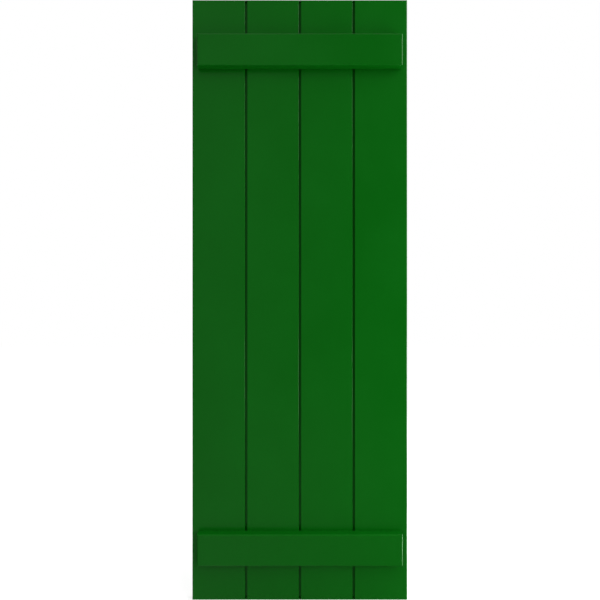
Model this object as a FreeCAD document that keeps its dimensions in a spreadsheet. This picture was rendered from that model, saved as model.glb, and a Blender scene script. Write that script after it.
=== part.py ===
"""Board and batten shutter: four tongue and groove boards held together by two battens across the front."""
import FreeCAD
import Part
import Sketcher
import math
import os

# Driving sizes in millimetres
SIZES = (
    ("shutter_height", 1524.0, "length of every board, end to end"),
    ("board_cover", 136.525, "face width of one board, joint to joint"),
    ("board_thickness", 19.05, "front face to back face"),
    ("tongue_thickness", 6.35, "front cheek to back cheek"),
    ("tongue_length", 7.9375, "how far a tongue stands out of its shoulder"),
    ("cheek_clearance", 0.2, "room on each side of a tongue in its groove"),
    ("groove_end_clearance", 0.8, "room past the tip of a tongue"),
    ("shoulder_gap", 0.2, "space between two boards where they butt"),
    ("front_reveal", 5.55625, "open space between two boards in front of the tongue"),
    ("reveal_depth", 6.35, "front face to the front cheek of a tongue"),
    ("reveal_stop", 2.38125, "wood left to close a reveal at each end"),
    ("reveal_edge_radius", 1.2, "rounding where a reveal meets the face"),
    ("back_bevel", 2.38125, "bevel on the back edge beside a tongue"),
    ("outer_edge_radius", 3.175, "rounding down the two long outside edges"),
    ("end_radius", 3.175, "rounding across the top and bottom ends"),
    ("batten_width", 79.375, "top edge to bottom edge"),
    ("batten_thickness", 19.05, "front face to back face"),
    ("batten_inset", 15.875, "how far a batten stops short of each side"),
    ("batten_setback", 136.525, "middle of a batten to the nearer board end"),
    ("batten_radius", 3.175, "rounding round the front of a batten"),
    ("screw_clearance_bore", 4.5, "hole through a board for a screw shank"),
    ("screw_head_bore", 9.0, "mouth of the countersink"),
    ("screw_head_angle", 90.0, "angle of the countersink, in degrees"),
    ("screw_pilot_bore", 3.0, "hole in a batten for a screw thread"),
    ("screw_pilot_cover", 5.0, "wood left in front of a pilot hole"),
    ("screw_edge_distance", 20.0, "screw to the long edge of a batten"),
    ("screw_joint_distance", 38.0, "screw to the joint of its board"),
)
BOARDS = ("left_outer_board", "left_inner_board", "right_inner_board", "right_outer_board")
BATTENS = (("top_batten", 1), ("bottom_batten", -1))

doc = FreeCAD.newDocument("shutter")
sheet = doc.addObject("Spreadsheet::Sheet", "sizes")
for row, (alias, value, note) in enumerate(SIZES, start=1):
    sheet.set(f"A{row}", alias)
    sheet.set(f"B{row}", str(value))
    sheet.set(f"C{row}", note)
    sheet.setAlias(f"B{row}", alias)
doc.recompute()

# Derived lengths, written once and used by every piece that shares them
HALF_HEIGHT = "sizes.shutter_height / 2"
HALF_COVER = "sizes.board_cover / 2"
FRONT = "-sizes.board_thickness"
TONGUE_FRONT = "sizes.reveal_depth - sizes.board_thickness"
TONGUE_BACK = "sizes.reveal_depth + sizes.tongue_thickness - sizes.board_thickness"
LEFT_LIP = "sizes.front_reveal / 2 - sizes.board_cover / 2"
RIGHT_LIP = "sizes.board_cover / 2 - sizes.front_reveal / 2"
REVEAL_END = "sizes.shutter_height / 2 - sizes.reveal_stop"
BATTEN_HEIGHT = "sizes.shutter_height / 2 - sizes.batten_setback"
BATTEN_LENGTH = f"{len(BOARDS)} * sizes.board_cover - 2 * sizes.batten_inset"
SCREW_X = "sizes.board_cover / 2 - sizes.screw_joint_distance"
SCREW_Z = "sizes.batten_width / 2 - sizes.screw_edge_distance"
TOLERANCE = 0.001


def board_middle(place):
    """Sideways position of one board's middle line, counted from the left."""
    return f"{place - (len(BOARDS) - 1) / 2} * sizes.board_cover"


def value_of(expression):
    return float(sheet.evalExpression(expression))


def origin_part(body, role):
    return next(item for item in body.Origin.OriginFeatures if item.Role == role)


def new_sketch(body, plane, name):
    sketch = body.newObject("Sketcher::SketchObject", name)
    sketch.AttachmentSupport = (origin_part(body, plane), [""])
    sketch.MapMode = "FlatFace"
    return sketch


def drive(sketch, kind, geometry, point, name, expression):
    """Hold one coordinate of a sketch point at a size from the sheet."""
    index = sketch.addConstraint(Sketcher.Constraint(kind, geometry, point, value_of(expression)))
    sketch.renameConstraint(index, name)
    sketch.setExpression(f"Constraints.{name}", expression)


def drive_radius(sketch, geometry, name, expression):
    index = sketch.addConstraint(Sketcher.Constraint("Radius", geometry, value_of(expression)))
    sketch.renameConstraint(index, name)
    sketch.setExpression(f"Constraints.{name}", expression)


def outline(sketch, corners):
    """Closed outline of straight lines whose corners follow the sheet."""
    spots = [FreeCAD.Vector(value_of(across), value_of(along), 0) for across, along in corners]
    spans = zip(spots, spots[1:] + spots[:1])
    lines = [sketch.addGeometry(Part.LineSegment(start, end)) for start, end in spans]
    for line, following in zip(lines, lines[1:] + lines[:1]):
        sketch.addConstraint(Sketcher.Constraint("Coincident", line, 2, following, 1))
    for line, (across, along) in zip(lines, corners):
        drive(sketch, "DistanceX", line, 1, f"across_{line}", across)
        drive(sketch, "DistanceY", line, 1, f"along_{line}", along)


def oblong(left, right, half_height):
    """Corners of a rectangle that stands evenly above and below the middle of its sketch."""
    low = f"-({half_height})"
    return [(left, low), (right, low), (right, half_height), (left, half_height)]


def round_over_waste(sketch, side):
    """Waste between a square front corner and its rounding; side is 1 at the top and -1 at the bottom."""
    label = "top" if side > 0 else "bottom"
    corner_y = FRONT
    corner_z = f"{side} * {HALF_HEIGHT}"
    centre_y = f"{FRONT} + sizes.end_radius"
    centre_z = f"{side} * ({HALF_HEIGHT} - sizes.end_radius)"
    radius = value_of("sizes.end_radius")
    corner = FreeCAD.Vector(value_of(corner_y), value_of(corner_z), 0)
    centre = FreeCAD.Vector(value_of(centre_y), value_of(centre_z), 0)
    end_touch = FreeCAD.Vector(centre.x, corner.y, 0)
    face_touch = FreeCAD.Vector(corner.x, centre.y, 0)
    circle = Part.Circle(centre, FreeCAD.Vector(0, 0, 1), radius)
    quarter = (math.pi / 2, math.pi) if side > 0 else (math.pi, 1.5 * math.pi)
    arc = sketch.addGeometry(Part.ArcOfCircle(circle, *quarter))
    on_end, on_face = (1, 2) if side > 0 else (2, 1)
    along_end = sketch.addGeometry(Part.LineSegment(corner, end_touch))
    along_face = sketch.addGeometry(Part.LineSegment(corner, face_touch))
    sketch.addConstraint(Sketcher.Constraint("Coincident", along_end, 1, along_face, 1))
    sketch.addConstraint(Sketcher.Constraint("Coincident", along_end, 2, arc, on_end))
    sketch.addConstraint(Sketcher.Constraint("Coincident", along_face, 2, arc, on_face))
    sketch.addConstraint(Sketcher.Constraint("Vertical", arc, 3, arc, on_end))
    sketch.addConstraint(Sketcher.Constraint("Horizontal", arc, 3, arc, on_face))
    drive_radius(sketch, arc, f"{label}_radius", "sizes.end_radius")
    drive(sketch, "DistanceX", arc, 3, f"{label}_centre_y", centre_y)
    drive(sketch, "DistanceY", arc, 3, f"{label}_centre_z", centre_z)
    drive(sketch, "DistanceX", along_end, 1, f"{label}_corner_y", corner_y)
    drive(sketch, "DistanceY", along_end, 1, f"{label}_corner_z", corner_z)


def screw_circles(sketch, middle_x, middle_z, bore):
    """Two screws set on a slant where a board crosses a batten."""
    for name, side in (("first", -1), ("second", 1)):
        across = f"{middle_x} + {side} * ({SCREW_X})"
        along = f"{middle_z} - {side} * ({SCREW_Z})"
        centre = FreeCAD.Vector(value_of(across), value_of(along), 0)
        circle = Part.Circle(centre, FreeCAD.Vector(0, 0, 1), value_of(bore) / 2)
        index = sketch.addGeometry(circle)
        drive(sketch, "DistanceX", index, 3, f"{name}_across", across)
        drive(sketch, "DistanceY", index, 3, f"{name}_along", along)
        drive_radius(sketch, index, f"{name}_radius", f"{bore} / 2")


def repeat(body, feature, role, length, count):
    """Row of copies of one feature along an axis of its body."""
    pattern = body.newObject("PartDesign::LinearPattern", f"{feature.Name}_row")
    pattern.Originals = [feature]
    pattern.Direction = (origin_part(body, role), [""])
    pattern.Occurrences = count
    pattern.setExpression("Length", length)
    body.Tip = pattern
    doc.recompute()
    return pattern


def upright_edges(shape, across):
    """Names of the upright edges on the front face that lie at the given sideways positions."""
    front = value_of(FRONT)
    names = []
    for number, edge in enumerate(shape.Edges, start=1):
        box = edge.BoundBox
        upright = box.ZLength > 0.5 * shape.BoundBox.ZLength
        on_front = abs(box.YMin - front) < TOLERANCE
        wanted = any(abs(box.XMin - x) < TOLERANCE for x in across)
        if upright and on_front and wanted:
            names.append(f"Edge{number}")
    return names


def round_edges(body, base, names, size, title):
    fillet = body.newObject("PartDesign::Fillet", f"{body.Name}_{title}")
    fillet.Base = (base, names)
    fillet.setExpression("Radius", f"sizes.{size}")
    doc.recompute()
    return fillet


# Tongue and groove boards, each drawn as its end profile and run the full height
def left_side(jointed):
    """Corners of a board's left side from front to back, grooved where it meets a neighbour."""
    if not jointed:
        return [(f"-{HALF_COVER}", FRONT), (f"-{HALF_COVER}", "0")]
    shoulder = f"-{HALF_COVER} + sizes.shoulder_gap / 2"
    floor = f"{shoulder} + sizes.tongue_length + sizes.groove_end_clearance"
    front_cheek = f"{TONGUE_FRONT} - sizes.cheek_clearance"
    back_cheek = f"{TONGUE_BACK} + sizes.cheek_clearance"
    return [
        (shoulder, FRONT),
        (shoulder, front_cheek),
        (floor, front_cheek),
        (floor, back_cheek),
        (shoulder, back_cheek),
        (shoulder, "0"),
    ]


def right_side(jointed):
    """Corners of a board's right side from back to front, with a tongue where it meets a neighbour."""
    if not jointed:
        return [(HALF_COVER, "0"), (HALF_COVER, FRONT)]
    shoulder = f"{HALF_COVER} - sizes.shoulder_gap / 2"
    tip = f"{shoulder} + sizes.tongue_length"
    return [
        (f"{shoulder} - sizes.back_bevel", "0"),
        (shoulder, "-sizes.back_bevel"),
        (shoulder, TONGUE_BACK),
        (tip, TONGUE_BACK),
        (tip, TONGUE_FRONT),
        (shoulder, TONGUE_FRONT),
        (shoulder, FRONT),
    ]


def make_board(place, label):
    body = doc.addObject("PartDesign::Body", label)
    body.Label = label
    grooved = place > 0
    tongued = place < len(BOARDS) - 1

    profile = new_sketch(body, "XY_Plane", f"{label}_profile")
    outline(profile, left_side(grooved) + right_side(tongued))
    run = body.newObject("PartDesign::Pad", f"{label}_run")
    run.Profile = profile
    run.SideType = "Symmetric"
    run.setExpression("Length", "sizes.shutter_height")
    doc.recompute()

    bands = new_sketch(body, "XZ_Plane", f"{label}_reveal_bands")
    bands.setExpression("AttachmentOffset.Base.z", "sizes.board_thickness")
    sides = ((grooved, LEFT_LIP, f"-{HALF_COVER}"), (tongued, RIGHT_LIP, HALF_COVER))
    for jointed, lip, edge in sides:
        if jointed:
            outline(bands, oblong(lip, edge, REVEAL_END))
    reveal = body.newObject("PartDesign::Pocket", f"{label}_reveal")
    reveal.Profile = bands
    reveal.setExpression("Length", "sizes.reveal_depth")
    doc.recompute()

    lips = [value_of(lip) for jointed, lip, edge in sides if jointed]
    corners = [value_of(edge) for jointed, lip, edge in sides if not jointed]
    last = round_edges(body, reveal, upright_edges(reveal.Shape, lips), "reveal_edge_radius", "reveal_edge")
    if corners:
        round_edges(body, last, upright_edges(last.Shape, corners), "outer_edge_radius", "outer_edge")

    waste = new_sketch(body, "YZ_Plane", f"{label}_end_waste")
    round_over_waste(waste, 1)
    round_over_waste(waste, -1)
    ends = body.newObject("PartDesign::Pocket", f"{label}_ends")
    ends.Profile = waste
    ends.SideType = "Symmetric"
    ends.Type = "ThroughAll"
    doc.recompute()

    marks = new_sketch(body, "XZ_Plane", f"{label}_screw_marks")
    screw_circles(marks, "0", f"-({BATTEN_HEIGHT})", "sizes.screw_clearance_bore")
    doc.recompute()
    hole = body.newObject("PartDesign::Hole", f"{label}_screw_hole")
    hole.Profile = marks
    hole.Reversed = True
    hole.ThreadType = "None"
    hole.DepthType = "ThroughAll"
    hole.HoleCutType = "Countersink"
    hole.HoleCutCustomValues = True
    hole.setExpression("Diameter", "sizes.screw_clearance_bore")
    hole.setExpression("HoleCutDiameter", "sizes.screw_head_bore")
    hole.setExpression("HoleCutCountersinkAngle", "sizes.screw_head_angle")
    doc.recompute()
    repeat(body, hole, "Z_Axis", f"2 * ({BATTEN_HEIGHT})", 2)
    body.setExpression("Placement.Base.x", board_middle(place))
    return body


# Battens, each a flat bar rounded all round its front, pilot drilled from behind
def front_edges(shape):
    """Names of the edges round the front face."""
    front = shape.BoundBox.YMin
    return [
        f"Edge{number}"
        for number, edge in enumerate(shape.Edges, start=1)
        if edge.BoundBox.YMax - front < TOLERANCE
    ]


def make_batten(label, side):
    body = doc.addObject("PartDesign::Body", label)
    body.Label = label
    half_length = f"({BATTEN_LENGTH}) / 2"
    half_width = "sizes.batten_width / 2"

    face = new_sketch(body, "XZ_Plane", f"{label}_face")
    outline(face, oblong(f"-{half_length}", half_length, half_width))
    bar = body.newObject("PartDesign::Pad", f"{label}_bar")
    bar.Profile = face
    bar.setExpression("Length", "sizes.batten_thickness")
    doc.recompute()
    round_edges(body, bar, front_edges(bar.Shape), "batten_radius", "round_over")

    marks = new_sketch(body, "XZ_Plane", f"{label}_pilot_marks")
    screw_circles(marks, board_middle(0), "0", "sizes.screw_pilot_bore")
    doc.recompute()
    pilot = body.newObject("PartDesign::Hole", f"{label}_pilot")
    pilot.Profile = marks
    pilot.Reversed = True
    pilot.ThreadType = "None"
    pilot.DepthType = "Dimension"
    pilot.DrillPoint = "Flat"
    pilot.setExpression("Diameter", "sizes.screw_pilot_bore")
    pilot.setExpression("Depth", "sizes.batten_thickness - sizes.screw_pilot_cover")
    doc.recompute()
    repeat(body, pilot, "X_Axis", f"{len(BOARDS) - 1} * sizes.board_cover", len(BOARDS))
    body.setExpression("Placement.Base.y", FRONT)
    body.setExpression("Placement.Base.z", f"{side} * ({BATTEN_HEIGHT})")
    return body


pieces = [make_board(place, label) for place, label in enumerate(BOARDS)]
pieces += [make_batten(label, side) for label, side in BATTENS]
doc.recompute()

# Every step must have worked before anything is written
for item in doc.Objects:
    if "Invalid" in item.State or "Error" in item.State:
        raise RuntimeError(f"{item.Label} did not build: {item.State}")
os.makedirs("parts", exist_ok=True)
for piece in pieces:
    solid = piece.Shape
    if solid.isNull() or not solid.isValid():
        raise RuntimeError(f"{piece.Label} has no sound shape")
    solid.exportStep(f"parts/{piece.Label}.step")
    box = solid.BoundBox
    spans = f"x {box.XMin:.2f}..{box.XMax:.2f}, y {box.YMin:.2f}..{box.YMax:.2f}, z {box.ZMin:.2f}..{box.ZMax:.2f}"
    print(f"{piece.Label}: {spans}, {solid.Volume / 1000:.1f} cm3, {len(solid.Faces)} faces")
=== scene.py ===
# %% [markdown]
# # A painted board and batten shutter
# Four upright boards are joined edge to edge by tongues and grooves, and two flat battens are screwed
# across their front. The solids come ready made in a shared frame, so this lesson is about dressing them:
# a smooth green paint that still remembers the planed wood under it, the screws in the back, and a soft
# white studio.

# %% Load the frame
import math

import bmesh
import bpy
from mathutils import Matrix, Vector


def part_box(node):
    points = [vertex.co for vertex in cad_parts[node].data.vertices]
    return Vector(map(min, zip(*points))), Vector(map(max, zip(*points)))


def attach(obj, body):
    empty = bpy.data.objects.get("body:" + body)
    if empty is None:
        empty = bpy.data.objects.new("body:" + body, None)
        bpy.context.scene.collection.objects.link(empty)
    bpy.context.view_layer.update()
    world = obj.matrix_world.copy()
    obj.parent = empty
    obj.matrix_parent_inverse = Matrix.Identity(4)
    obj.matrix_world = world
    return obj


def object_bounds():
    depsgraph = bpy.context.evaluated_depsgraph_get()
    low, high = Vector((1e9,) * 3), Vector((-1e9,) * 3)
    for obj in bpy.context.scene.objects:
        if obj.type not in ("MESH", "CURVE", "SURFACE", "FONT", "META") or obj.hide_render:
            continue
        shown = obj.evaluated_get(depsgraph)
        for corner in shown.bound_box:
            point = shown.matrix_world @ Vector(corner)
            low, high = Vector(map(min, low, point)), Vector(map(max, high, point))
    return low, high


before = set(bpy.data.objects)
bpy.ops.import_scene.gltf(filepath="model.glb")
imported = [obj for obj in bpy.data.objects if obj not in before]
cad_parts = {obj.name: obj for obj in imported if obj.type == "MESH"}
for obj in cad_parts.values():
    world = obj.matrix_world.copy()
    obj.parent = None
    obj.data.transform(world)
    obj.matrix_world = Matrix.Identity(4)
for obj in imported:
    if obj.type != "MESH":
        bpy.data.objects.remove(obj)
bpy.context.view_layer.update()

print("nodes:", sorted(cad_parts))

# %% [markdown]
# ## Read the sizes from the frame
# A joiner measures the finished shutter before fitting anything to it. The sizes could be typed in here,
# but a longer board would then leave its screws behind. So the screws, the floor and the camera take
# their places from the boards and battens themselves.

# %% Main sizes
BOARDS = ("left_outer_board", "left_inner_board", "right_inner_board", "right_outer_board")
BATTENS = ("top_batten", "bottom_batten")
low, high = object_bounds()
shutter_width = high.x - low.x
shutter_height = high.z - low.z
board_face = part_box("left_inner_board")[0].y
board_cover = shutter_width / len(BOARDS)
middle_height = (low.z + high.z) / 2
print(f"shutter {shutter_width:.4f} wide, {shutter_height:.4f} tall, board faces at y {board_face:.4f}")

# %% [markdown]
# ## Helpers for the finishes
# A finish in Blender is a graph of shader nodes: one makes a pattern, the next colours or bends it, and
# the last one is the surface. The nodes could be laid out by hand in the editor, but a script can be read
# and run again. These helpers add a node, set its sockets by name and start a material. A colour picker's
# numbers are not linear in light, so one more helper turns them into the linear colours that shaders
# expect.


# %% Node helpers
def add_node(tree, kind, label, **settings):
    """Add one shader node and set its options by name."""
    node = tree.nodes.new(kind)
    node.label = label
    for key, value in settings.items():
        setattr(node, key, value)
    return node


def set_inputs(node, **values):
    """Set input sockets by name, with underscores for spaces."""
    for key, value in values.items():
        node.inputs[key.replace("_", " ")].default_value = value
    return node


def new_material(name):
    """A material, its node tree and its shader, ready to be wired."""
    material = bpy.data.materials.new(name)
    material.use_nodes = True
    tree = material.node_tree
    return material, tree, tree.nodes["Principled BSDF"]


def grey(level):
    """A neutral colour, from 0 for black to 1 for white."""
    return (level, level, level, 1.0)


def from_srgb(red, green, blue):
    """Linear colour from the 0 to 255 numbers that a colour picker shows."""
    def linear(value):
        share = value / 255
        return share / 12.92 if share <= 0.04045 else ((share + 0.055) / 1.055) ** 2.4
    return (linear(red), linear(green), linear(blue), 1.0)


print("100 on a colour picker is", round(from_srgb(100, 0, 0)[0], 4), "in linear light")

# %% [markdown]
# ## Green paint over planed wood
# The finish is a smooth exterior paint, sprayed in several coats. From the front it reads as one deep
# green, but close by it has three kinds of detail: broad, faint changes of tone where the coat is
# thicker, the long grain of the wood showing through as shallow ridges, and the fine pebbling of the
# paint's own skin. An image could hold all this, but it would stretch on the edges. Noise in object space
# has no seams. The tone comes first: a broad noise slides between two greens that are almost the same.

# %% Tone of the coat
PAINT_DEEP = from_srgb(6, 92, 12)
PAINT_FULL = from_srgb(7, 95, 14)
TONE_SCALE = 5.0
TONE_DETAIL = 3.0
TONE_ROUGHNESS = 0.55
TONE_BAND = (0.35, 0.65)


def paint_tone(tree, shader, wood):
    """Colour the shader from deep to full green, and return the noise, which the sheen shares."""
    tone = add_node(tree, "ShaderNodeTexNoise", "thicker and thinner coat")
    set_inputs(tone, Scale=TONE_SCALE, Detail=TONE_DETAIL, Roughness=TONE_ROUGHNESS)
    tree.links.new(wood.outputs["Vector"], tone.inputs["Vector"])
    colour = add_node(tree, "ShaderNodeValToRGB", "deep to full green")
    deep, full = colour.color_ramp.elements
    deep.position, full.position = TONE_BAND
    deep.color = PAINT_DEEP
    full.color = PAINT_FULL
    tree.links.new(tone.outputs["Fac"], colour.inputs["Fac"])
    tree.links.new(colour.outputs["Color"], shader.inputs["Base Color"])
    return tone


print("green in linear light:", [round(value, 4) for value in PAINT_FULL[:3]])

# %% [markdown]
# ### Grain and pebbling
# Planed softwood keeps fine ridges along its length, and each coat of paint rounds them off. Sprayed
# paint also dries with a faintly pebbled skin. Both are too fine to model, so they are bump maps, with
# real heights in metres that keep each kind of relief at its own scale. A noise that is stretched along
# the board turns into grain, and feeding one bump into the next lays the pebbles over the ridges.

# %% Relief of the paint
GRAIN_HEIGHT = 0.000020
GRAIN_SCALE = 420.0
GRAIN_DETAIL = 4.0
GRAIN_ROUGHNESS = 0.6
GRAIN_WANDER = 0.4
GRAIN_STRETCH = 0.05
PEBBLE_HEIGHT = 0.000004
PEBBLE_SCALE = 650.0
PEBBLE_DETAIL = 1.0


def paint_relief(tree, shader, wood, grain_axis):
    """Bend the shader's normal by ridges along one axis, with fine pebbles over them."""
    along = add_node(tree, "ShaderNodeMapping", "stretch along the grain")
    stretch = [1.0, 1.0, 1.0]
    stretch[grain_axis] = GRAIN_STRETCH
    along.inputs["Scale"].default_value = stretch
    tree.links.new(wood.outputs["Vector"], along.inputs["Vector"])
    grain = add_node(tree, "ShaderNodeTexNoise", "grain under the paint")
    set_inputs(grain, Scale=GRAIN_SCALE, Detail=GRAIN_DETAIL)
    set_inputs(grain, Roughness=GRAIN_ROUGHNESS, Distortion=GRAIN_WANDER)
    tree.links.new(along.outputs["Vector"], grain.inputs["Vector"])
    pebble = add_node(tree, "ShaderNodeTexNoise", "pebbled skin")
    set_inputs(pebble, Scale=PEBBLE_SCALE, Detail=PEBBLE_DETAIL)
    tree.links.new(wood.outputs["Vector"], pebble.inputs["Vector"])

    ridges = add_node(tree, "ShaderNodeBump", "grain relief")
    set_inputs(ridges, Strength=1.0, Distance=GRAIN_HEIGHT)
    tree.links.new(grain.outputs["Fac"], ridges.inputs["Height"])
    skin = add_node(tree, "ShaderNodeBump", "pebble relief")
    set_inputs(skin, Strength=1.0, Distance=PEBBLE_HEIGHT)
    tree.links.new(pebble.outputs["Fac"], skin.inputs["Height"])
    tree.links.new(ridges.outputs["Normal"], skin.inputs["Normal"])
    tree.links.new(skin.outputs["Normal"], shader.inputs["Normal"])


print("relief in metres: grain", GRAIN_HEIGHT, "and pebbles", PEBBLE_HEIGHT)

# %% [markdown]
# ### Low sheen
# Paint of this kind shines a little, and not quite evenly. A mirror-like coat would show the whole studio
# in the boards, and a flat one would lose the bright line at the ends of the battens. A low specular
# level with a fairly smooth surface lies between the two, and the noise of the tone makes it uneven.

# %% Sheen of the paint
LOW_SHEEN = 0.14
SHEEN_ROUGHNESS = (0.20, 0.25)
NOISE_BAND = (0.3, 0.7)


def uneven_roughness(tree, shader, noise, span, label):
    """Let a noise move the shader's roughness between the two ends of a span."""
    spread = add_node(tree, "ShaderNodeMapRange", label)
    set_inputs(spread, From_Min=NOISE_BAND[0], From_Max=NOISE_BAND[1], To_Min=span[0], To_Max=span[1])
    tree.links.new(noise.outputs["Fac"], spread.inputs["Value"])
    tree.links.new(spread.outputs["Result"], shader.inputs["Roughness"])


def green_paint(name, grain_axis, shift):
    """Low-sheen green paint whose grain runs along one axis; shift gives each piece wood of its own."""
    material, tree, shader = new_material(name)
    shader.inputs["Specular IOR Level"].default_value = LOW_SHEEN
    place = add_node(tree, "ShaderNodeTexCoord", "place on the shutter")
    wood = add_node(tree, "ShaderNodeMapping", "this piece of wood")
    wood.inputs["Location"].default_value = shift
    tree.links.new(place.outputs["Object"], wood.inputs["Vector"])
    tone = paint_tone(tree, shader, wood)
    paint_relief(tree, shader, wood, grain_axis)
    uneven_roughness(tree, shader, tone, SHEEN_ROUGHNESS, "low sheen, a little uneven")
    return material


print("sheen", LOW_SHEEN, "with roughness", SHEEN_ROUGHNESS)

# %% [markdown]
# ### Wood of its own for each piece
# Each board and batten was sawn with the grain along its length. One material for all would carry the
# same grain straight across the joints, so each piece gets a paint of its own: its noise is shifted, and
# its grain runs upright in a board and level in a batten.

# %% Paint every board and batten
UPRIGHT = 2
LEVEL = 0
WOOD_STEP = (0.37, 1.3, 0.71)
for number, name in enumerate(BOARDS + BATTENS):
    grain_axis = UPRIGHT if name in BOARDS else LEVEL
    shift = [step * number for step in WOOD_STEP]
    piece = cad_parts[name]
    piece.data.materials.clear()
    piece.data.materials.append(green_paint(f"paint_{name}", grain_axis, shift))
print("painted:", len(BOARDS + BATTENS), "pieces")

# %% [markdown]
# ## Countersunk screws
# The battens are held by wood screws driven from the back, two at each board, set on a slant so that they
# don't split the batten along one line of grain. Only their heads show, in the countersunk seats. A screw
# is a turned thing, so it is built as a stack of rings: each ring is a height and an outline, and the
# cross recess is only a ring whose outline is a plus sign. That gives clean quads, where cutting a cross
# out of a cylinder would leave slivers.


# %% Outlines of a ring
STRAIGHT_ALONG = 1e-6


def circle(radius):
    """Outline of a round ring."""
    return lambda angle: radius


def cross(reach, half_width):
    """Outline of a plus sign: the end of a wing, or its side, whichever the ray meets first."""
    def outline(angle):
        turn = abs((angle + math.pi / 4) % (math.pi / 2) - math.pi / 4)
        end = reach / math.cos(turn)
        side = half_width / math.sin(turn) if turn > STRAIGHT_ALONG else end
        return min(end, side)
    return outline


wing = cross(2.0, 0.5)
print("a cross of reach 2 goes out", wing(0), "along a wing and", round(wing(math.pi / 4), 3), "between two")

# %% [markdown]
# ### Rings from the recess to the point
# A driver sits in a recess that narrows to the bottom, and the head slopes down to a plain shank. The
# thread is hidden in the batten, so the core that it is cut from is enough. The rings follow the surface
# from the floor of the recess, up over the face of the head, and down the outside to the point.

# %% Rings of one screw
HEAD_RADIUS = 0.0040
HEAD_RIM = 0.00012
SHANK_RADIUS = 0.0021
SHANK_END = -0.0175
CORE_RADIUS = 0.00145
CORE_START = -0.0188
CORE_END = -0.0290
POINT_RADIUS = 0.0002
POINT_END = -0.0320
# Height, reach of the wings and half their width, from the floor of the recess to the face of the head.
RECESS = (
    (-0.0021, 0.0006, 0.00022),
    (-0.0016, 0.0012, 0.00034),
    (-0.0001, 0.0021, 0.00048),
    (0.0, 0.0022, 0.00058),
)
head_slope = HEAD_RADIUS - SHANK_RADIUS
screw_rings = [(height, cross(reach, half_width)) for height, reach, half_width in RECESS]
screw_rings += [
    (0.0, circle(HEAD_RADIUS - HEAD_RIM)),
    (-HEAD_RIM / 3, circle(HEAD_RADIUS - HEAD_RIM / 3)),
    (-HEAD_RIM, circle(HEAD_RADIUS)),
    (-HEAD_RIM - head_slope, circle(SHANK_RADIUS)),
    (SHANK_END, circle(SHANK_RADIUS)),
    (CORE_START, circle(CORE_RADIUS)),
    (CORE_END, circle(CORE_RADIUS)),
    (POINT_END, circle(POINT_RADIUS)),
]
print("rings in a screw:", len(screw_rings))

# %% [markdown]
# ### A skin over the rings
# A band of quads joins each ring to the next, and one face closes each end, so the screw is watertight.
# All the screws share this one mesh, which keeps the file small. Smooth shading would blur the edges of
# the recess, so edges above a limit are kept sharp.

# %% Screw mesh
RING_POINTS = 96
SHARP_EDGE = math.radians(35)


def screw_mesh(rings):
    """A countersunk screw with its head face at y = 0 and its point towards -Y."""
    mesh = bpy.data.meshes.new("batten_screw")
    turned = bmesh.new()
    loops = []
    for height, outline in rings:
        loop = []
        for step in range(RING_POINTS):
            angle = 2 * math.pi * step / RING_POINTS
            radius = outline(angle)
            loop.append(turned.verts.new((radius * math.cos(angle), height, radius * math.sin(angle))))
        loops.append(loop)
    for inner, outer in zip(loops, loops[1:]):
        for step in range(RING_POINTS):
            after = (step + 1) % RING_POINTS
            turned.faces.new((inner[step], inner[after], outer[after], outer[step]))
    turned.faces.new(loops[0])
    turned.faces.new(loops[-1])
    bmesh.ops.recalc_face_normals(turned, faces=turned.faces)
    turned.to_mesh(mesh)
    turned.free()
    mesh.shade_smooth()
    mesh.set_sharp_from_angle(angle=SHARP_EDGE)
    return mesh


one_screw = screw_mesh(screw_rings)
print("screw faces:", len(one_screw.polygons))

# %% [markdown]
# ### Bright steel
# The heads are plain stainless steel. A lathe leaves fine rings on the face, which stretch its highlights
# around the head, and handling leaves soft blotches of a duller shine. Rings of a wave texture in the
# screw's own space make the first, and noise in its roughness the second.

# %% Steel
STEEL = from_srgb(196, 195, 190)
TURNING_SCALE = 1800.0
TURNING_WANDER = 1.0
TURNING_DETAIL = 1.0
TURNING_HEIGHT = 0.0000015
HANDLING_SCALE = 900.0
HANDLING_DETAIL = 2.0
STEEL_ROUGHNESS = (0.28, 0.42)


def turned_steel():
    """Stainless steel with turning rings around the screw's own axis."""
    material, tree, shader = new_material("turned_steel")
    set_inputs(shader, Metallic=1.0, Base_Color=STEEL)
    place = add_node(tree, "ShaderNodeTexCoord", "place on the screw")
    rings = add_node(tree, "ShaderNodeTexWave", "turning rings", wave_type="RINGS", rings_direction="Y")
    set_inputs(rings, Scale=TURNING_SCALE, Distortion=TURNING_WANDER, Detail=TURNING_DETAIL)
    tree.links.new(place.outputs["Object"], rings.inputs["Vector"])
    relief = add_node(tree, "ShaderNodeBump", "ring relief")
    set_inputs(relief, Strength=1.0, Distance=TURNING_HEIGHT)
    tree.links.new(rings.outputs["Fac"], relief.inputs["Height"])
    tree.links.new(relief.outputs["Normal"], shader.inputs["Normal"])
    handling = add_node(tree, "ShaderNodeTexNoise", "handling marks")
    set_inputs(handling, Scale=HANDLING_SCALE, Detail=HANDLING_DETAIL)
    tree.links.new(place.outputs["Object"], handling.inputs["Vector"])
    uneven_roughness(tree, shader, handling, STEEL_ROUGHNESS, "bright to dull")
    return material


one_screw.materials.append(turned_steel())
print("screw finish:", one_screw.materials[0].name)

# %% [markdown]
# ### Drive the screws
# Each seat's place follows from two distances, which a joiner marks with a gauge: in from the edge of the
# batten, and in from the joint between two boards. No two screws stop at the same turn, so each one gets
# its own.

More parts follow.
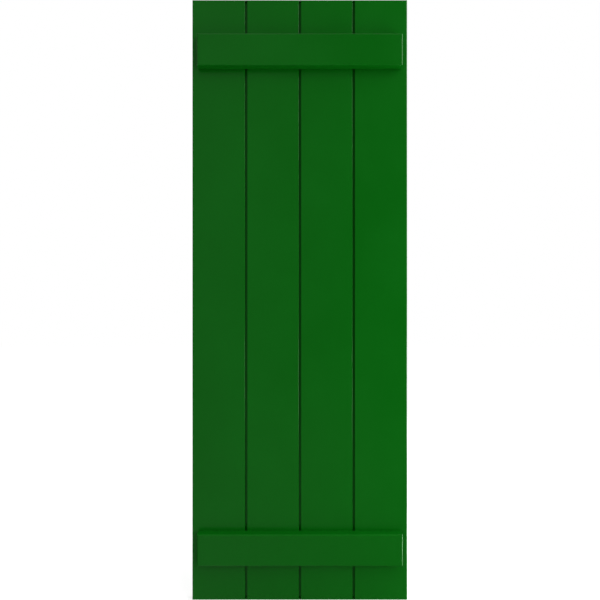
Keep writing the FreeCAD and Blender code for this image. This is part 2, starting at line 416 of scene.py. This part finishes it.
# %% Screws in their seats
EDGE_DISTANCE = 0.020
JOINT_DISTANCE = 0.038
SUNK = 0.00035
TURN_DEGREES = 37
back_face = high.y
across = board_cover / 2 - JOINT_DISTANCE
screw_count = 0
for batten in BATTENS:
    batten_low, batten_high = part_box(batten)
    batten_height = (batten_low.z + batten_high.z) / 2
    upward = (batten_high.z - batten_low.z) / 2 - EDGE_DISTANCE
    for number in range(len(BOARDS)):
        board_middle = low.x + (number + 0.5) * board_cover
        for seat, side in enumerate((-1, 1), start=1):
            screw_count += 1
            screw = bpy.data.objects.new(f"screw_{batten}_{2 * number + seat}", one_screw)
            screw.location = (board_middle + side * across, back_face - SUNK, batten_height - side * upward)
            screw.rotation_euler = (0, math.radians(TURN_DEGREES * screw_count), 0)
            bpy.context.scene.collection.objects.link(screw)
            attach(screw, "root")
print("screws:", screw_count)

# %% [markdown]
# ## Sheets for the studio
# A studio is built from plain sheets: a floor, and cards that hold light back. Each could be a scaled
# plane, but a sheet from its own corners can turn a corner and needs no scale. It is scenery and never
# counts as a part of the shutter.


# %% Sheet helper
def make_sheet(name, corners, faces):
    """A stage piece from a few corners; it is scenery, so it does not belong to the shutter."""
    mesh = bpy.data.meshes.new(name)
    sheet = bmesh.new()
    points = [sheet.verts.new(corner) for corner in corners]
    for face in faces:
        sheet.faces.new([points[index] for index in face])
    bmesh.ops.recalc_face_normals(sheet, faces=sheet.faces)
    sheet.to_mesh(mesh)
    sheet.free()
    thing = bpy.data.objects.new(name, mesh)
    bpy.context.scene.collection.objects.link(thing)
    return thing


# %% [markdown]
# ## White floor
# The shutter stands on a pale floor that runs on into a white background. Lighting a floor until it turns
# white would also flood the paint. So its material asks which ray has arrived, and gives one answer to
# a camera, a mirror or glass and another to light that is only passing on. The room will ask the same
# question, so the question is a helper of its own.

# %% Which ray asks
LOOKING_RAYS = ("Is Camera Ray", "Is Glossy Ray", "Is Transmission Ray")


def looked_at(tree):
    """One where a camera, a mirror or glass looks, and zero where light only gathers."""
    path = add_node(tree, "ShaderNodeLightPath", "which ray asks")
    answer = path.outputs[LOOKING_RAYS[0]]
    for ray in LOOKING_RAYS[1:]:
        either = add_node(tree, "ShaderNodeMath", f"or {ray}", operation="MAXIMUM")
        tree.links.new(answer, either.inputs[0])
        tree.links.new(path.outputs[ray], either.inputs[1])
        answer = either.outputs["Value"]
    return answer


print("rays that look:", LOOKING_RAYS)

# %% [markdown]
# ### Glow and film
# To look at, the floor glows by itself, and a diffuse film adds the rest of the white and loses it again
# in the shadow. A glow alone would be as white but would leave the shutter floating. To passing light the
# floor is a dull grey that gives a little back to the foot of the shutter.

# %% Floor
FLOOR_REACH = 6.0
FLOOR_WHITE = 0.55
FLOOR_CATCH = 0.55
FLOOR_BOUNCE = 0.48
FLOOR_DULLNESS = 0.9
WHITE = grey(1.0)


def white_floor():
    """Pale floor: partly white by itself to look at, with a film that still catches the shadow."""
    material, tree, shader = new_material("white_floor")
    set_inputs(shader, Base_Color=grey(FLOOR_BOUNCE), Roughness=FLOOR_DULLNESS)
    glow = add_node(tree, "ShaderNodeEmission", "white to look at")
    set_inputs(glow, Color=WHITE, Strength=FLOOR_WHITE)
    catch = add_node(tree, "ShaderNodeBsdfDiffuse", "shadow catching film")
    set_inputs(catch, Color=grey(FLOOR_CATCH))
    both = add_node(tree, "ShaderNodeAddShader", "white with shadow")
    choose = add_node(tree, "ShaderNodeMixShader", "look or light")
    tree.links.new(glow.outputs["Emission"], both.inputs[0])
    tree.links.new(catch.outputs["BSDF"], both.inputs[1])
    tree.links.new(looked_at(tree), choose.inputs["Fac"])
    tree.links.new(shader.outputs["BSDF"], choose.inputs[1])
    tree.links.new(both.outputs["Shader"], choose.inputs[2])
    tree.links.new(choose.outputs["Shader"], tree.nodes["Material Output"].inputs["Surface"])
    return material


square = ((-1, -1), (1, -1), (1, 1), (-1, 1))
floor = make_sheet("floor", [(x * FLOOR_REACH, y * FLOOR_REACH, low.z) for x, y in square], [(0, 1, 2, 3)])
floor.data.materials.append(white_floor())
print("floor at height", round(low.z, 4))

# %% [markdown]
# ## White room
# Soft light from all around fills the shadows, and more of it comes from the ceiling than from the walls,
# which shades the underside of a batten and lights its top. A picture of a room could give that light,
# but two strengths with a smooth climb between them are easier to tune. As on the floor, what a camera or
# a mirror sees is plain white, whatever the room gives to the paint.

# %% Room
ROOM_WALLS = 0.31
ROOM_CEILING = 1.08
ROOM_WHITE = 1.0
world = bpy.data.worlds.new("white_room")
bpy.context.scene.world = world
world.use_nodes = True
room = world.node_tree
room.nodes.clear()
soft = add_node(room, "ShaderNodeBackground", "soft light")
set_inputs(soft, Color=WHITE)
direction = add_node(room, "ShaderNodeTexCoord", "which way the ray goes")
height = add_node(room, "ShaderNodeSeparateXYZ", "how steeply it climbs")
climb = add_node(room, "ShaderNodeMapRange", "dim walls to bright ceiling")
set_inputs(climb, To_Min=ROOM_WALLS, To_Max=ROOM_CEILING)
room.links.new(direction.outputs["Generated"], height.inputs["Vector"])
room.links.new(height.outputs["Z"], climb.inputs["Value"])
room.links.new(climb.outputs["Result"], soft.inputs["Strength"])
white = add_node(room, "ShaderNodeBackground", "white to look at")
set_inputs(white, Color=WHITE, Strength=ROOM_WHITE)
choose = add_node(room, "ShaderNodeMixShader", "look or light")
output = add_node(room, "ShaderNodeOutputWorld", "room")
room.links.new(looked_at(room), choose.inputs["Fac"])
room.links.new(soft.outputs["Background"], choose.inputs[1])
room.links.new(white.outputs["Background"], choose.inputs[2])
room.links.new(choose.outputs["Shader"], output.inputs["Surface"])
print("room gives", ROOM_WALLS, "to", ROOM_CEILING, "and shows", ROOM_WHITE)

# %% [markdown]
# ## A graded card
# A white room shines on smooth paint like a veil of milk. Photographers cut that with a dark card in
# front of the thing, outside the picture, and let the card fade from grey to black so that the sheen
# fades across the paint too. This one lies on the floor, rises behind the camera and turns back along the
# left, and a small flap lies by the left foot of the shutter. The fade could be a picture, but a grey at
# each corner is enough, because Blender blends the greys across a face.

# %% Shape of the card
CARD_LEFT = -2.4
CARD_RIGHT = 4.0
CARD_NEAR = 0.02
CARD_FAR = -2.6
CARD_BACK = 1.5
CARD_TOP = 10.0
CARD_LIFT = 0.002
CARD_PALE = 0.5
# From left to right the card is black, grey at the middle number and black again, near by and far off.
NEAR_FADE = (-0.40, -0.28, 0.40)
FAR_FADE = (-2.0, -1.0, 0.6)
FLAP_LEFT = -0.60
FLAP_RIGHT = NEAR_FADE[1]
FLAP_BACK = 0.20


def card_shape():
    """Corners, faces and the grey of each corner, row by row and then the left side and the flap."""
    base = low.z + CARD_LIFT
    rows = ((CARD_NEAR, base, NEAR_FADE), (CARD_FAR, base, FAR_FADE), (CARD_FAR, CARD_TOP, FAR_FADE))
    row_greys = [0, 0, CARD_PALE, 0, 0]
    count = len(row_greys)
    corners = [(x, y, z) for y, z, fade in rows for x in (CARD_LEFT, *fade, CARD_RIGHT)]
    starts = [row * count + column for row in range(len(rows) - 1) for column in range(count - 1)]
    faces = [(start, start + 1, start + count + 1, start + count) for start in starts]

    side = len(corners)
    corners += [(CARD_LEFT, CARD_BACK, base), (CARD_LEFT, CARD_BACK, CARD_TOP)]
    faces.append((side, count, 2 * count, side + 1))
    flap = len(corners)
    corners += [(FLAP_LEFT, CARD_NEAR, base), (FLAP_RIGHT, CARD_NEAR, base)]
    corners += [(FLAP_RIGHT, FLAP_BACK, base), (FLAP_LEFT, FLAP_BACK, base)]
    faces.append((flap, flap + 1, flap + 2, flap + 3))
    greys = row_greys * len(rows) + [0] * (len(corners) - side)
    return corners, faces, greys


print("corners of the card:", len(card_shape()[0]))

# %% [markdown]
# ### For reflections alone
# A real card would shade the shutter too. This one should only take the milky shine away, so it is hidden
# from every ray but reflections: it throws no shadow and never shows itself. Its material glows in the
# grey of each place, because no lamp has to light it then.


# %% Card
def graded_card():
    """The card, which shines in its own grey and is seen by reflections alone."""
    corners, faces, greys = card_shape()
    card = make_sheet("graded_card", corners, faces)
    card.data.attributes.new("grey", "FLOAT", "POINT").data.foreach_set("value", greys)
    material, tree, _ = new_material("graded_card")
    shade = add_node(tree, "ShaderNodeAttribute", "grey of the card", attribute_name="grey")
    glow = add_node(tree, "ShaderNodeEmission", "card as reflections see it")
    tree.links.new(shade.outputs["Fac"], glow.inputs["Strength"])
    tree.links.new(glow.outputs["Emission"], tree.nodes["Material Output"].inputs["Surface"])
    card.data.materials.append(material)
    card.visible_camera = False
    card.visible_diffuse = False
    card.visible_transmission = False
    card.visible_shadow = False
    return card


card = graded_card()
print("card:", len(card.data.polygons), "faces")

# %% [markdown]
# ## Lamps
# The boards are a little brighter on the right, and each batten has a bright line at its right-hand end.
# Two large softboxes on the right give that, one from above and one from below. A third stands further
# forward and opens the shade under the upper batten; its reflection would glare on the boards, so
# reflections skip it. One more behind lights the back, and a narrow strip beside the lower batten lights
# its end. Area lamps are used because their size makes the soft shadows that a point or a sun would not.


# %% Softboxes
def softbox(name, place, size, power, facing=(0, 0, 0), mirrored=True):
    """Rectangular studio lamp at a place, turned to face the middle of the shutter or another point."""
    lamp = bpy.data.lights.new(name, "AREA")
    lamp.shape = "RECTANGLE"
    lamp.size, lamp.size_y = size
    lamp.energy = power
    holder = bpy.data.objects.new(name, lamp)
    holder.location = place
    holder.rotation_euler = (Vector(facing) - Vector(place)).to_track_quat("-Z", "Y").to_euler()
    holder.visible_camera = False
    holder.visible_glossy = mirrored
    bpy.context.scene.collection.objects.link(holder)


softbox("upper_right_softbox", place=(1.5, -0.55, 1.3), size=(1.0, 1.2), power=18, facing=(0, 0, -0.4))
softbox("lower_right_softbox", place=(1.35, -0.28, -0.45), size=(0.9, 0.55), power=19, facing=(0, 0, 0.4))
softbox("front_softbox", place=(1.5, -1.2, 0.6), size=(0.8, 0.5), power=7, mirrored=False)
softbox("back_right_softbox", place=(1.22, 1.15, 0.4), size=(0.45, 2.2), power=7)
softbox("end_strip", place=(0.45, -0.010, -0.69), size=(0.03, 0.14), power=0.4, facing=(0.26, -0.010, -0.69))
print("lamps:", len(bpy.data.lights))

# %% [markdown]
# ## Camera
# The picture was taken square on, from close by: the underside of the upper batten and the top of the
# lower one both show. The lens could be set by eye, but two facts give it exactly. The nearness fixes the
# distance, and the rows of the picture where the shutter begins and ends fix the lens.

# %% Camera
PICTURE_SIDE = 600
SHUTTER_TOP_ROW = -0.42
SHUTTER_BOTTOM_ROW = 600.22
SHUTTER_MIDDLE_COLUMN = 299.8
CAMERA_DISTANCE = 1.089
SENSOR = 36.0

metres_per_pixel = shutter_height / (SHUTTER_BOTTOM_ROW - SHUTTER_TOP_ROW)
half_view = PICTURE_SIDE / 2 * metres_per_pixel
row_offset = (SHUTTER_TOP_ROW + SHUTTER_BOTTOM_ROW) / 2 - PICTURE_SIDE / 2
column_offset = SHUTTER_MIDDLE_COLUMN - PICTURE_SIDE / 2
lens = bpy.data.cameras.new("camera")
lens.sensor_width = SENSOR
lens.lens = SENSOR / 2 * CAMERA_DISTANCE / half_view
camera = bpy.data.objects.new("camera", lens)
sideways = -column_offset * metres_per_pixel
camera_height = middle_height + row_offset * metres_per_pixel
camera.location = (sideways, board_face - CAMERA_DISTANCE, camera_height)
camera.rotation_euler = (math.radians(90), 0, 0)
bpy.context.scene.collection.objects.link(camera)
bpy.context.scene.camera = camera
bpy.context.scene.view_settings.view_transform = "Standard"
print(f"lens {lens.lens:.2f} mm, camera at {tuple(round(v, 4) for v in camera.location)}")
